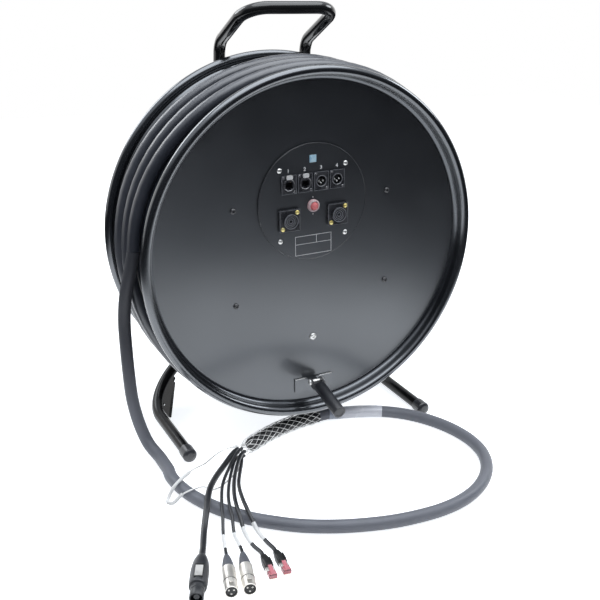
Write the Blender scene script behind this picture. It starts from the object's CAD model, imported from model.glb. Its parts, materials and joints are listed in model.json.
"""Hybrid cable reel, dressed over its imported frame: drum, stand, socket panel, crank and free cable."""
import json
import math

import bmesh
import bpy
from mathutils import Matrix, Vector


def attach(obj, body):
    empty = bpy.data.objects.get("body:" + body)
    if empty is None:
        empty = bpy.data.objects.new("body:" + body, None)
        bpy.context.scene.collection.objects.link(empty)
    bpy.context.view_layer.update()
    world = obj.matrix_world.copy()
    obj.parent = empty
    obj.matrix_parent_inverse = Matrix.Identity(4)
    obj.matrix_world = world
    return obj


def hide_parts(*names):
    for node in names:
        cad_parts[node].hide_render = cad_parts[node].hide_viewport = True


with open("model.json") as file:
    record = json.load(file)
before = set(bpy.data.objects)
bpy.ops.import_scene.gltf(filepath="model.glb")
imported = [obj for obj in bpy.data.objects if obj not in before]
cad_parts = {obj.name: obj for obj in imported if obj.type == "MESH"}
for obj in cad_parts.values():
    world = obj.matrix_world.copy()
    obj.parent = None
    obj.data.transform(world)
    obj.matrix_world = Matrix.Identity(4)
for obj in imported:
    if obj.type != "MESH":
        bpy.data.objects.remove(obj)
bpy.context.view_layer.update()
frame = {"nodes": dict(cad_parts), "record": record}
nodes = frame["nodes"]

# Camera
# The photograph looks down on the reel from its front left, a little tilted.
camera_data = bpy.data.cameras.new("photo_camera")
camera_data.lens = 59.357
camera_data.sensor_width = 36
camera_data.clip_end = 20
camera = bpy.data.objects.new("photo_camera", camera_data)
bpy.context.scene.collection.objects.link(camera)
camera.matrix_world = Matrix((
    (0.900324, 0.125491, -0.416735, -0.69281),
    (-0.434116, 0.327103, -0.839373, -1.41382),
    (0.030981, 0.936619, 0.348977, 0.80619),
    (0, 0, 0, 1))).normalized()
bpy.context.scene.camera = camera

# The studio
# A white sweep behind and under the reel, a pale ceiling and soft lamps over it, and a darker room in front.
# The pale floor is bright near the reel and fades with distance, which is what the black coat mirrors.
BRIGHT_FLOOR = 0.58
DARK_FLOOR = 1.10
FLOOR_CENTRE = (-0.05, -0.05, 0.0)
ROOM_LIGHT = (0.19, 0.195, 0.215, 1)
ROOM_SEEN_IN_GLOSS = (0.06, 0.065, 0.075, 1)
CEILING_SEEN_IN_GLOSS = (0.90, 0.94, 1.0, 1)
LAMP_COLOUR = (0.93, 0.965, 1.0)
FLOOR_LIFT = 0.92
FLOOR_GLOSS_GAIN = 1.08
FLOOR_PALE = (0.93, 0.93, 0.93, 1)
FLOOR_FAR_OFF = (0.05, 0.05, 0.055, 1)
FLOOR_GLOW = (0.94, 0.97, 1.0, 1)
WHITE = (1, 1, 1, 1)


def link(tree, output, target):
    tree.links.new(output, target)


def math_node(tree, operation, first, second=None):
    node = tree.nodes.new("ShaderNodeMath")
    node.operation = operation
    for socket, value in zip(node.inputs, (first, second)):
        if value is None:
            continue
        if isinstance(value, (int, float)):
            socket.default_value = value
        else:
            link(tree, value, socket)
    return node.outputs[0]


def smooth_range(tree, value, low, high, to_low=0.0, to_high=1.0):
    node = tree.nodes.new("ShaderNodeMapRange")
    node.interpolation_type = "SMOOTHSTEP"
    link(tree, value, node.inputs["Value"])
    node.inputs["From Min"].default_value = low
    node.inputs["From Max"].default_value = high
    node.inputs["To Min"].default_value = to_low
    node.inputs["To Max"].default_value = to_high
    return node.outputs["Result"]


def mix_colour(tree, share, first, second):
    node = tree.nodes.new("ShaderNodeMix")
    node.data_type = "RGBA"
    node.clamp_factor = True
    for socket, value in (("Factor", share), ("A", first), ("B", second)):
        socket = [item for item in node.inputs if item.name == socket
                  and item.type == ("VALUE" if socket == "Factor" else "RGBA")][0]
        if isinstance(value, (int, float, tuple)):
            socket.default_value = value
        else:
            link(tree, value, socket)
    return [item for item in node.outputs if item.type == "RGBA"][0]


world = bpy.data.worlds.new("studio")
bpy.context.scene.world = world
world.use_nodes = True
sky = world.node_tree
sky.nodes.clear()
rays = sky.nodes.new("ShaderNodeLightPath")
way = sky.nodes.new("ShaderNodeTexCoord")
way_parts = sky.nodes.new("ShaderNodeSeparateXYZ")
link(sky, way.outputs["Generated"], way_parts.inputs[0])
behind = smooth_range(sky, way_parts.outputs["Y"], -0.15, 0.35)
not_overhead = smooth_range(sky, way_parts.outputs["Z"], 0.25, 0.70, 1.0, 0.0)
sweep = math_node(sky, "MULTIPLY", behind, not_overhead)
overhead = smooth_range(sky, way_parts.outputs["Z"], 0.34, 0.72)
in_gloss = mix_colour(sky, overhead, mix_colour(sky, sweep, ROOM_SEEN_IN_GLOSS, WHITE),
                      CEILING_SEEN_IN_GLOSS)
lit_or_gloss = mix_colour(sky, rays.outputs["Is Glossy Ray"], ROOM_LIGHT, in_gloss)
seen = math_node(sky, "MAXIMUM", rays.outputs["Is Camera Ray"], rays.outputs["Is Transmission Ray"])
backlight = sky.nodes.new("ShaderNodeBackground")
link(sky, mix_colour(sky, seen, lit_or_gloss, WHITE), backlight.inputs["Color"])
sky_out = sky.nodes.new("ShaderNodeOutputWorld")
link(sky, backlight.outputs[0], sky_out.inputs["Surface"])

floor_mesh = bpy.data.meshes.new("studio_floor")
floor_shell = bmesh.new()
bmesh.ops.create_grid(floor_shell, x_segments=1, y_segments=1, size=3.0)
floor_shell.to_mesh(floor_mesh)
floor_shell.free()
floor = bpy.data.objects.new("studio_floor", floor_mesh)
bpy.context.scene.collection.objects.link(floor)
floor_finish = bpy.data.materials.new("pale_floor")
floor_finish.use_nodes = True
ground = floor_finish.node_tree
floor_shader = ground.nodes["Principled BSDF"]
floor_rays = ground.nodes.new("ShaderNodeLightPath")
floor_place = ground.nodes.new("ShaderNodeNewGeometry")
floor_far = ground.nodes.new("ShaderNodeVectorMath")
floor_far.operation = "DISTANCE"
floor_far.inputs[1].default_value = FLOOR_CENTRE
link(ground, floor_place.outputs["Position"], floor_far.inputs[0])
near_reel = smooth_range(ground, floor_far.outputs["Value"], BRIGHT_FLOOR, DARK_FLOOR, 1.0, 0.0)
floor_seen = math_node(ground, "MAXIMUM", floor_rays.outputs["Is Camera Ray"],
                       floor_rays.outputs["Is Transmission Ray"])
floor_gloss = math_node(ground, "MULTIPLY", floor_rays.outputs["Is Glossy Ray"],
                        math_node(ground, "MULTIPLY", near_reel, FLOOR_GLOSS_GAIN))
link(ground, mix_colour(ground, math_node(ground, "MAXIMUM", floor_seen, near_reel),
                        FLOOR_FAR_OFF, FLOOR_PALE), floor_shader.inputs["Base Color"])
floor_shader.inputs["Roughness"].default_value = 1.0
floor_shader.inputs["Specular IOR Level"].default_value = 0.0
floor_shader.inputs["Emission Color"].default_value = FLOOR_GLOW
link(ground, math_node(ground, "MULTIPLY", math_node(ground, "MAXIMUM", floor_seen, floor_gloss), FLOOR_LIFT),
     floor_shader.inputs["Emission Strength"])
floor_mesh.materials.append(floor_finish)

for name, spot, size, power, turn in (
        ("top_lamp", (0.10, -0.35, 2.3), 2.6, 46, (0.15, 0.04, 0.0)),
        ("side_lamp", (1.7, -0.2, 1.3), 0.8, 9, (0.0, 1.05, 0.0)),
        ("back_lamp", (-1.1, 1.6, 1.6), 1.3, 16, (-0.95, 0.0, 0.55))):
    lamp_data = bpy.data.lights.new(name, "AREA")
    lamp_data.shape = "DISK"
    lamp_data.size = size
    lamp_data.energy = power
    lamp_data.color = LAMP_COLOUR
    lamp = bpy.data.objects.new(name, lamp_data)
    bpy.context.scene.collection.objects.link(lamp)
    lamp.location = spot
    lamp.rotation_euler = turn
bpy.context.scene.view_settings.view_transform = "Standard"

# The free cable
# One thick rubber-jacketed cable drops off the drum, runs round a loose loop on the floor and ends inside
# the mesh grip. It is one tube through the same route as the solids it stands for.
CABLE_RADIUS = 0.010


def new_group(name, inputs, outputs):
    """An empty node group with its named sockets: (name, kind, value) going in and (name, kind) coming out."""
    group = bpy.data.node_groups.new(name, "ShaderNodeTree")
    for label, kind, value in inputs:
        group.interface.new_socket(label, in_out="INPUT", socket_type=kind).default_value = value
    for label, kind in outputs:
        group.interface.new_socket(label, in_out="OUTPUT", socket_type=kind)
    return group, group.nodes.new("NodeGroupInput"), group.nodes.new("NodeGroupOutput")


def noise_node(tree, place, scale, detail, roughness=0.5):
    node = tree.nodes.new("ShaderNodeTexNoise")
    link(tree, place, node.inputs["Vector"])
    if isinstance(scale, (int, float)):
        node.inputs["Scale"].default_value = scale
    else:
        link(tree, scale, node.inputs["Scale"])
    node.inputs["Detail"].default_value = detail
    node.inputs["Roughness"].default_value = roughness
    return node.outputs["Fac"]


# Uneven colour and gloss in soft patches, with a fine grain for the bump.
mottle, mottle_in, mottle_out = new_group("mottled_grain", (
    ("Colour", "NodeSocketColor", (0.1, 0.1, 0.1, 1)),
    ("Second Colour", "NodeSocketColor", (0.2, 0.2, 0.2, 1)), ("Patch Scale", "NodeSocketFloat", 14.0),
    ("Grain Scale", "NodeSocketFloat", 900.0), ("Roughness", "NodeSocketFloat", 0.5),
    ("Roughness Spread", "NodeSocketFloat", 0.1)), (
    ("Colour", "NodeSocketColor"), ("Roughness", "NodeSocketFloat"), ("Height", "NodeSocketFloat")))
mottle_place = mottle.nodes.new("ShaderNodeTexCoord").outputs["Object"]
patch = smooth_range(mottle, noise_node(mottle, mottle_place, mottle_in.outputs["Patch Scale"], 4.0, 0.6),
                     0.32, 0.68)
link(mottle, mix_colour(mottle, patch, mottle_in.outputs["Colour"], mottle_in.outputs["Second Colour"]),
     mottle_out.inputs["Colour"])
swing = math_node(mottle, "MULTIPLY", math_node(mottle, "SUBTRACT", patch, 0.5),
                  mottle_in.outputs["Roughness Spread"])
link(mottle, math_node(mottle, "ADD", swing, mottle_in.outputs["Roughness"]), mottle_out.inputs["Roughness"])
link(mottle, noise_node(mottle, mottle_place, mottle_in.outputs["Grain Scale"], 3.0),
     mottle_out.inputs["Height"])

# Thin rubbed lines where a finish has been dragged along something.
rubs, rubs_in, rubs_out = new_group("rub_marks", (
    ("Scale", "NodeSocketFloat", 60.0), ("Amount", "NodeSocketFloat", 0.3)), (("Mask", "NodeSocketFloat"),))
rubs_place = rubs.nodes.new("ShaderNodeTexCoord").outputs["Object"]
stretched = rubs.nodes.new("ShaderNodeMapping")
stretched.inputs["Rotation"].default_value = (0.5, 0.3, 0.9)
stretched.inputs["Scale"].default_value = (1.0, 14.0, 14.0)
link(rubs, rubs_place, stretched.inputs["Vector"])
thin = smooth_range(rubs, noise_node(rubs, stretched.outputs["Vector"], rubs_in.outputs["Scale"], 2.0), 0.66,
                    0.74)
where = smooth_range(rubs, noise_node(rubs, rubs_place, 9.0, 2.0), 0.50, 0.64)
link(rubs, math_node(rubs, "MULTIPLY", math_node(rubs, "MULTIPLY", thin, where), rubs_in.outputs["Amount"]),
     rubs_out.inputs["Mask"])


def grained(name, colour, second, roughness, spread, patch_scale=14.0, grain_scale=900.0, bump=0.15,
            bump_height=0.0003, metallic=0.0, specular=0.5, rubbed=0.0, rub_colour=(0.2, 0.2, 0.2)):
    """A surface with mottled colour and gloss, a fine grain and, where asked, rubbed lines."""
    material = bpy.data.materials.new(name)
    material.use_nodes = True
    tree = material.node_tree
    shader = tree.nodes["Principled BSDF"]
    shader.inputs["Metallic"].default_value = metallic
    shader.inputs["Specular IOR Level"].default_value = specular
    grain = tree.nodes.new("ShaderNodeGroup")
    grain.node_tree = mottle
    grain.inputs["Colour"].default_value = (*colour, 1)
    grain.inputs["Second Colour"].default_value = (*second, 1)
    grain.inputs["Patch Scale"].default_value = patch_scale
    grain.inputs["Grain Scale"].default_value = grain_scale
    grain.inputs["Roughness"].default_value = roughness
    grain.inputs["Roughness Spread"].default_value = spread
    shade = grain.outputs["Colour"]
    rough = grain.outputs["Roughness"]
    if rubbed:
        marks = tree.nodes.new("ShaderNodeGroup")
        marks.node_tree = rubs
        marks.inputs["Amount"].default_value = rubbed
        shade = mix_colour(tree, marks.outputs["Mask"], shade, (*rub_colour, 1))
        rough = math_node(tree, "ADD", rough, math_node(tree, "MULTIPLY", marks.outputs["Mask"], 0.35))
    link(tree, shade, shader.inputs["Base Color"])
    link(tree, rough, shader.inputs["Roughness"])
    relief = tree.nodes.new("ShaderNodeBump")
    relief.inputs["Strength"].default_value = bump
    relief.inputs["Distance"].default_value = bump_height
    link(tree, grain.outputs["Height"], relief.inputs["Height"])
    link(tree, relief.outputs["Normal"], shader.inputs["Normal"])
    return material


def shader_of(material):
    return material.node_tree.nodes["Principled BSDF"]


def set_shader(material, values):
    """Sets values that are the same all over a surface on its shader's own sockets."""
    for label, value in values.items():
        shader_of(material).inputs[label].default_value = value


def object_place(tree):
    """The three outputs X, Y and Z of a point's place on its object."""
    parts = tree.nodes.new("ShaderNodeSeparateXYZ")
    link(tree, tree.nodes.new("ShaderNodeTexCoord").outputs["Object"], parts.inputs[0])
    return parts.outputs


def tint(material, share, colour):
    """Mixes a second colour into a material's own, by a share that changes over the surface."""
    own = shader_of(material).inputs["Base Color"]
    link(material.node_tree, mix_colour(material.node_tree, share, own.links[0].from_socket, colour), own)


def through(knots, spacing):
    """Even points along one smooth curve through a cord's knots, with the end stretches straight."""
    fine = []
    for a, b, c, d in zip(knots, knots[1:], knots[2:], knots[3:]):
        times = [0.0]
        for first, second in ((a, b), (b, c), (c, d)):
            times.append(times[-1] + math.sqrt((second - first).length))
        for step in range(16):
            t = times[1] + (times[2] - times[1]) * step / 16
            ab = a.lerp(b, (t - times[0]) / (times[1] - times[0]))
            bc = b.lerp(c, (t - times[1]) / (times[2] - times[1]))
            cd = c.lerp(d, (t - times[2]) / (times[3] - times[2]))
            abc = ab.lerp(bc, (t - times[0]) / (times[2] - times[0]))
            bcd = bc.lerp(cd, (t - times[1]) / (times[3] - times[1]))
            fine.append(abc.lerp(bcd, (t - times[1]) / (times[2] - times[1])))
    fine.append(knots[-2])
    return [knots[0]] + evenly(fine, spacing) + [knots[-1]]


def evenly(fine, spacing):
    """The same line with its points at even distances."""
    reached = [0.0]
    for first, second in zip(fine, fine[1:]):
        reached.append(reached[-1] + (second - first).length)
    count = max(2, round(reached[-1] / spacing))
    points = []
    place = 0
    for k in range(count + 1):
        wanted = reached[-1] * k / count
        while place < len(fine) - 2 and reached[place + 1] < wanted:
            place += 1
        share = (wanted - reached[place]) / (reached[place + 1] - reached[place])
        points.append(fine[place].lerp(fine[place + 1], min(1.0, share)))
    return points


def run_length(points):
    return sum((b - a).length for a, b in zip(points, points[1:]))


def cord_curve(name, runs, radius, resolution, material, sizes=None):
    """A round cord, wire or tube along a run of points, or several such runs in one piece."""
    if isinstance(runs[0], Vector):
        runs = [runs]
    curve = bpy.data.curves.new(name, "CURVE")
    curve.dimensions = "3D"
    curve.bevel_depth = radius
    curve.bevel_resolution = resolution
    curve.use_fill_caps = True
    for points in runs:
        spline = curve.splines.new("POLY")
        spline.points.add(len(points) - 1)
        for index, (knot, point) in enumerate(zip(spline.points, points)):
            knot.co = (*point, 1)
            knot.radius = sizes[index] if sizes else 1.0
        spline.use_smooth = True
    curve.materials.append(material)
    piece = bpy.data.objects.new(name, curve)
    bpy.context.scene.collection.objects.link(piece)
    return piece


def knots_between(start, start_way, route, end, end_way, straight):
    """A route's knots, in metres, with a straight stretch of one diameter at each end."""
    middle = [Vector(point) / 1000 for point in route]
    return [start, start + start_way * straight] + middle + [end - end_way * straight, end]


jacket = grained("cable_jacket", (0.178, 0.187, 0.216), (0.212, 0.222, 0.252), 0.46, 0.10, 11.0, 1100.0, 0.10,
                 0.0002, specular=0.4, rubbed=0.25, rub_colour=(0.24, 0.25, 0.28))

# The jacket is greyer where the cable lies on the floor and darker where it hangs off the drum.
LYING_BELOW = 0.03
HANGING_ABOVE = 0.22
HANGING_COLOUR = (0.058, 0.061, 0.072, 1)
hanging = smooth_range(jacket.node_tree, object_place(jacket.node_tree)["Z"], LYING_BELOW, HANGING_ABOVE)
tint(jacket, hanging, HANGING_COLOUR)

LEAD_START = Vector((-0.28498, -0.01631, 0.34258))
LEAD_START_WAY = Vector((-0.1736, -0.0412, -0.9839))
LEAD_ROUTE = (
    (-293, -15.5, 299), (-297, -12.5, 276), (-299, -8.5, 250), (-299.5, -6.5, 220), (-299, -10.2, 183),
    (-298, -17.2, 140), (-295.4, -24.2, 97.4), (-286.8, -32.2, 54.7), (-276.4, -44.2, 24.3))
LEAD_END = Vector((-0.266, -0.090, 0.0104))
LEAD_WAY = Vector((0, -1, 0))
LOOP_ROUTE = (
    (-269, -131, 10.4), (-267.5, -156, 10.4), (-261.5, -186, 10.4), (-250.5, -216, 10.4), (-233, -248, 10.4),
    (-204, -285, 10.4), (-174, -311, 10.4), (-144, -332, 10.4), (-112, -348, 10.4), (-80, -360, 10.4),
    (-47, -369, 10.4), (-12, -375.5, 10.4), (25, -378, 10.4), (66, -376.5, 10.4), (107, -368, 10.4),
    (147, -350.5, 10.4), (184, -323, 10.4), (211, -290, 10.4), (227, -255, 10.4), (233, -217, 10.4),
    (229, -178, 10.4), (218, -144, 10.4), (199, -110, 10.4), (175, -83, 10.4), (144, -62, 10.4),
    (108, -48.5, 10.6), (72, -43, 12.4))
LOOP_END = Vector((0.030, -0.042, 0.0138))
LOOP_WAY = Vector((-1, -0.06, 0)).normalized()
MESH_ROUTE = ((-34, -53.5, 13.9), (-73, -68, 13.9))
MESH_END = Vector((-0.142, -0.106, 0.0139))
MESH_WAY = Vector((-0.857, -0.514, 0)).normalized()

STRAIGHT_END = 0.020
CABLE_SPACING = 0.010
MESH_STRAIGHT_END = 0.027
MESH_SPACING = 0.006
lead_points = through(knots_between(LEAD_START, LEAD_START_WAY, LEAD_ROUTE, LEAD_END, LEAD_WAY, STRAIGHT_END),
                      CABLE_SPACING)
loop_points = through(knots_between(LEAD_END, LEAD_WAY, LOOP_ROUTE, LOOP_END, LOOP_WAY, STRAIGHT_END),
                      CABLE_SPACING)
mesh_points = through(knots_between(LOOP_END, LOOP_WAY, MESH_ROUTE, MESH_END, MESH_WAY, MESH_STRAIGHT_END),
                      MESH_SPACING)
cable_points = lead_points + loop_points[1:] + mesh_points[1:-2]
cable = cord_curve("free_cable", cable_points, CABLE_RADIUS, 7, jacket)
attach(cable, "frame")
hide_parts("cable_lead", "cable_floor_loop")

# The tails
# Past the grip the cable splits into five thin leads: one for power, two for signal and two for data.
# They hang over the floor loop and run down to their plugs.
TAIL_RADII = {"power": 0.00475, "signal": 0.0025, "data": 0.003}
TAIL_ROUTES = (
    ("power_tail", (-4.6, 1.6), (
        (-187, -144, 16), (-214, -179, 21), (-238, -217, 26.2), (-257, -256, 22.5), (-275, -293, 12),
        (-288, -324, 10.5))),
    ("signal_tail_1", (3.2, 6.4), (
        (-158, -124, 19.8), (-184, -159, 19.5), (-211, -202, 21.5), (-230, -246, 24.4), (-241, -278, 18),
        (-250, -303, 6.5), (-259, -332, 6.5))),
    ("signal_tail_2", (0.6, -7), (
        (-158, -124, 12.5), (-181, -163, 15.5), (-204, -209, 20.5), (-222, -254, 24.6), (-229, -284, 18.5),
        (-235, -307, 6.5), (-239, -336, 6.5))),
    ("data_tail_1", (8.6, 2.6), (
        (-154, -131, 17), (-178, -172, 18.5), (-198, -215, 22), (-213, -257, 25.6), (-219, -286, 22.5),
        (-221, -311, 8), (-221, -340, 4.4))),
    ("data_tail_2", (7.6, -5.4), (
        (-150, -130, 8.8), (-168, -166, 12), (-187, -208, 18.5), (-202, -260, 26), (-206, -288, 24.8),
        (-203, -315, 8), (-200, -341, 4.4))))
PLUG_PLACES = (
    ((-299.5, -350.0, 12.6), -24.9), ((-267.2, -358.6, 9.7), -17.0), ((-245.1, -362.2, 9.7), -15.5),
    ((-218.4, -370.1, 5.1), -7.0), ((-198.4, -368.1, 5.1), -5.0))
TAIL_PLUGS = (("power_plug_shell", "power_plug_latch"), ("signal_plug_1_shell", "signal_latch_1"),
              ("signal_plug_2_shell", "signal_latch_2"), ("data_plug_1_shell", "data_clip_1"),
              ("data_plug_2_shell", "data_clip_2"))
tail_jacket = grained("tail_jacket", (0.016, 0.017, 0.021), (0.026, 0.028, 0.033), 0.34, 0.10, 30.0, 1500.0,
                      0.10, 0.0002, specular=0.6)
sideways = Vector((0, 0, 1)).cross(MESH_WAY)
tails = []
tail_points = {}
for (name, (across, up), route), (rear, heading), ends in zip(TAIL_ROUTES, PLUG_PLACES, TAIL_PLUGS):
    radius = TAIL_RADII[name.split("_")[0]]
    start = MESH_END + MESH_WAY * 0.0003 + (sideways * across + Vector((0, 0, up))) / 1000
    leaving = Vector((math.sin(math.radians(heading)), -math.cos(math.radians(heading)), 0))
    points = through(knots_between(start, MESH_WAY, route, Vector(rear) / 1000 - leaving * 0.0003, leaving,
                                   2 * radius), 0.005)
    tail = cord_curve(name + "_lead", points, radius, 5, tail_jacket)
    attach(tail, "frame")
    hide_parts(name)
    tail_points[name] = points
    tails.append((tail, start, run_length(points), radius * 2, ends))

# White marking sleeves
# Plain white shrink sleeves over the four thinner tails, between the dark jacket and the plug's boot.
SLEEVE_SPANS = (("signal_tail_1", 0.806, 0.935), ("signal_tail_2", 0.806, 0.925),
                ("data_tail_1", 0.760, 0.885), ("data_tail_2", 0.770, 0.890))
SLEEVE_WALL = 0.00015
white_sleeve = grained("white_sleeve", (0.95, 0.95, 0.94), (0.97, 0.97, 0.96), 0.55, 0.08, 40.0, 700.0, 0.08,
                       0.0002)
for name, first, last in SLEEVE_SPANS:
    points = tail_points[name]
    span = points[round(first * (len(points) - 1)):round(last * (len(points) - 1)) + 1]
    sleeve = cord_curve(name + "_sleeve", span, TAIL_RADII[name.split("_")[0]] + SLEEVE_WALL, 5, white_sleeve)
    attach(sleeve, "frame")

# The label sleeve
# A pale, slightly see-through sleeve shrunk over the cable just before the grip, over a bare white label.
# It is one short tube round the cable, greyer where only the dark jacket lies under it.
LABEL_FROM = 0.152
LABEL_TO = 0.0475
LABEL_RADIUS = 0.0109
LABEL_END_SHARE = 0.955
BARE_JACKET_FROM = 0.062
BARE_JACKET_TO = 0.080
OVER_JACKET_COLOUR = (0.42, 0.46, 0.55, 1)
label_sleeve = grained("label_sleeve", (0.86, 0.88, 0.96), (0.92, 0.93, 0.99), 0.24, 0.08, 26.0, 500.0, 0.10,
                       0.0003)
set_shader(label_sleeve, {"Coat Weight": 0.5, "Coat Roughness": 0.12})
label_tree = label_sleeve.node_tree
over_jacket = smooth_range(label_tree, object_place(label_tree)["X"], BARE_JACKET_FROM, BARE_JACKET_TO, 1.0,
                           0.0)
tint(label_sleeve, over_jacket, OVER_JACKET_COLOUR)
loop_tail = [point for point in loop_points[len(loop_points) // 2:]
             if LABEL_TO <= point.x <= LABEL_FROM and point.y > -0.075]
label = cord_curve("label_sleeve_tube", loop_tail, LABEL_RADIUS, 7, label_sleeve,
                   [LABEL_END_SHARE] + [1.0] * (len(loop_tail) - 2) + [LABEL_END_SHARE])
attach(label, "frame")

# The mesh grip
# A sock of bright steel wire woven in diamonds round the cable's taped end. Its wires gather at one end into
# the two legs of the hauling eye.
STRANDS = 8
STRAND_RADIUS = 0.00052
STRAND_LEAD = 0.150
GRIP_REACH = 0.0125
GATHER_LENGTH = 0.026
EYE_START = Vector((-0.134, -0.080, 0.009))
EYE_FINISH = Vector((-0.151, -0.131, 0.0019))
tape = grained("black_tape", (0.010, 0.010, 0.012), (0.016, 0.016, 0.018), 0.34, 0.12, 60.0, 1200.0, 0.2,
               0.0003)
taped_end = cord_curve("taped_cable_end", mesh_points[:-1], 0.0106, 6, tape)
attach(taped_end, "frame")

grip_steel = grained("grip_steel", (0.66, 0.66, 0.65), (0.80, 0.80, 0.79), 0.30, 0.15, 90.0, 900.0, 0.05,
                     0.0001, metallic=1.0)


def frames_along(points):
    """Each point with the way on and two steady cross directions."""
    side = Vector((0, 0, 1)).cross(points[1] - points[0]).normalized()
    rows = []
    for index, point in enumerate(points):
        way = (points[min(index + 1, len(points) - 1)] - points[max(index - 1, 0)]).normalized()
        side = (side - way * side.dot(way)).normalized()
        rows.append((point, side, way.cross(side)))
    return rows


def ease(share):
    share = min(1.0, max(0.0, share))
    return share * share * (3 - 2 * share)


grip_line = evenly(mesh_points, 0.002)
grip_rows = frames_along(grip_line)
grip_length = run_length(grip_line)
strands = []
for turning in (-1, 1):
    for strand in range(STRANDS):
        run = []
        for index, (point, side, across) in enumerate(grip_rows):
            along = grip_length * index / (len(grip_rows) - 1)
            angle = 2 * math.pi * (strand / STRANDS + turning * along / STRAND_LEAD)
            reach = GRIP_REACH * (0.90 + 0.10 * ease(along / 0.02)) + turning * STRAND_RADIUS * 0.9
            spot = point + (side * math.cos(angle) + across * math.sin(angle)) * reach
            gather = ease((along - (grip_length - GATHER_LENGTH)) / GATHER_LENGTH)
            if gather > 0:
                last = 2 * math.pi * (strand / STRANDS + turning * grip_length / STRAND_LEAD)
                goal = EYE_START if math.cos(last) > 0 else EYE_FINISH
                spot = spot.lerp(goal, gather * 0.55)
            run.append(spot)
        strands.append(run)
net = cord_curve("grip_net", strands, STRAND_RADIUS, 1, grip_steel)
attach(net, "frame")
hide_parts("mesh_grip")

# The grip's eye
# A long loop of the same wire for hauling the cable by a hook, with a pressed ferrule at each root and a
# white sleeve round its bend.
EYE_ROUTE = (
    (-150, -76, 6), (-165, -77, 3), (-183, -88, 2.2), (-203, -104, 3), (-225, -123, 10), (-248, -152, 22),
    (-264, -167, 24.2), (-279, -175, 18), (-290, -181, 4), (-293, -188, 2.2), (-287, -194, 3),
    (-273, -195, 15), (-257, -202, 24.4), (-240, -198, 21.5), (-222, -187, 6), (-205, -178, 2.2),
    (-182, -160, 1.9), (-163, -144, 1.9))
EYE_WIRE = 0.0012
EYE_SLEEVE = 0.0026
eye_points = through(knots_between(EYE_START, Vector((-0.94, 0.1, -0.3)).normalized(), EYE_ROUTE, EYE_FINISH,
                                   -MESH_WAY, 0.003), 0.004)
wire_zinc = grained("zinc_wire", (0.70, 0.70, 0.69), (0.80, 0.80, 0.79), 0.32, 0.1, 120.0, 1500.0, 0.1,
                    0.0001, metallic=1.0)
eye = cord_curve("grip_eye_wire", eye_points, EYE_WIRE, 4, wire_zinc)
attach(eye, "frame")
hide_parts("grip_eye")
bend_points = [point for point in eye_points if point.x < -0.2445 and point.y > -0.1955]
eye_sleeve = cord_curve("eye_sleeve", bend_points, EYE_SLEEVE, 5, white_sleeve)
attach(eye_sleeve, "frame")
ferrules = cord_curve("eye_ferrules", [eye_points[1:4], eye_points[-4:-1]], 0.0021, 5, wire_zinc)
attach(ferrules, "frame")

# The power plug
# A dark moulded locking plug: waisted body with finger ribs, stepped barrel with a post inside, and a light
# metal slide on top that moves on its own.


def placed(name, shell, material, place, sharp=35):
    """A finished mesh as a piece of the scene, smooth but for its sharp edges."""
    bmesh.ops.recalc_face_normals(shell, faces=shell.faces)
    mesh = bpy.data.meshes.new(name)
    shell.to_mesh(mesh)
    shell.free()
    mesh.transform(place)
    mesh.shade_smooth()
    mesh.set_sharp_from_angle(angle=math.radians(sharp))
    for item in material if isinstance(material, (list, tuple)) else [material]:
        mesh.materials.append(item)
    piece = bpy.data.objects.new(name, mesh)
    bpy.context.scene.collection.objects.link(piece)
    return piece


def turn_into(shell, profile, steps, slot=0, place=Matrix()):
    """Adds a turned piece about Z from (radius, height) pairs, closed on itself off the axis."""
    rings = []
    for radius, height in profile:
        count = 1 if radius < 0.000001 else steps
        rings.append([shell.verts.new(place @ Vector((radius * math.cos(2 * math.pi * k / steps),
                                                      radius * math.sin(2 * math.pi * k / steps), height)))
                      for k in range(count)])
    pairs = list(zip(rings, rings[1:]))
    if min(radius for radius, height in profile) > 0.000001:
        pairs.append((rings[-1], rings[0]))
    for first, second in pairs:
        for k in range(steps):
            j = (k + 1) % steps
            corners = [first[k % len(first)], first[j % len(first)], second[j % len(second)],
                       second[k % len(second)]]
            corners = [corner for index, corner in enumerate(corners) if corner not in corners[:index]]
            if len(corners) > 2:
                shell.faces.new(corners).material_index = slot


def box_into(shell, width, height, low, high, centre=(0, 0), slot=0, edge=0.0, place=Matrix(), taper=1.0):
    """Adds a box along Z, its edges rounded where asked and its low end scaled by the taper."""
    made = bmesh.ops.create_cube(shell, size=1.0)["verts"]
    for vert in made:
        share = taper if vert.co.z < 0 else 1.0
        vert.co = Vector((vert.co.x * width * share + centre[0], vert.co.y * height * share + centre[1],
                          (low + high) / 2 + vert.co.z * (high - low)))
    faces = {face for vert in made for face in vert.link_faces}
    for face in faces:
        face.material_index = slot
    if edge:
        rounded = bmesh.ops.bevel(shell, geom=list({side for face in faces for side in face.edges}),
                                  offset=edge, segments=3, profile=0.5, affect="EDGES")
        made = list({vert for face in rounded["faces"] for vert in face.verts}
                    | {vert for vert in made if vert.is_valid})
    bmesh.ops.transform(shell, matrix=place, verts=made)


def plug_place(rear, heading):
    """Frame at a plug's rear end: Z along the plug towards its face, Y up."""
    forward = Vector((math.sin(math.radians(heading)), -math.cos(math.radians(heading)), 0))
    up = Vector((0, 0, 1))
    turned = Matrix((up.cross(forward), up, forward)).transposed().to_4x4()
    return Matrix.Translation(Vector(rear) / 1000) @ turned


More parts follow.
